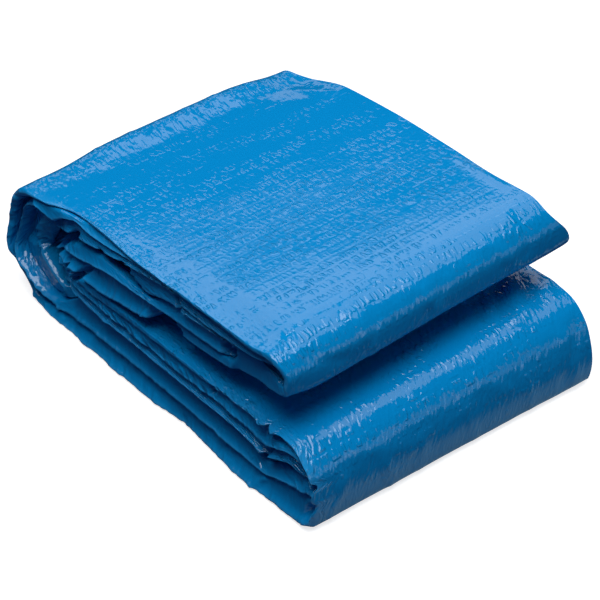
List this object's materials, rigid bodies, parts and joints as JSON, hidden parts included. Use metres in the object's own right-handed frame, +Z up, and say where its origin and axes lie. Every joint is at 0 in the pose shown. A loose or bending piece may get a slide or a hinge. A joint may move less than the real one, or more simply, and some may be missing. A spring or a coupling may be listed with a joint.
{
  "type": "folded pool ground cloth",
  "caption": "Blue coated woven ground cloth for a pool, pleated to a strip, its ends turned in, then folded in half for storage.",
  "frame": {"origin": "centre of the footprint, on the surface that the folded cloth rests on", "axes": "+X from the left bend to the free ends, +Y from the near pleated side to the far side, +Z up"},
  "size_m": [0.3724, 0.2764, 0.1305],
  "materials": {
    "coated_cloth": "glossy coated weave"
  },
  "bodies": {
    "root": {"ground_cloth": "coated_cloth"}
  },
  "joints": []
}
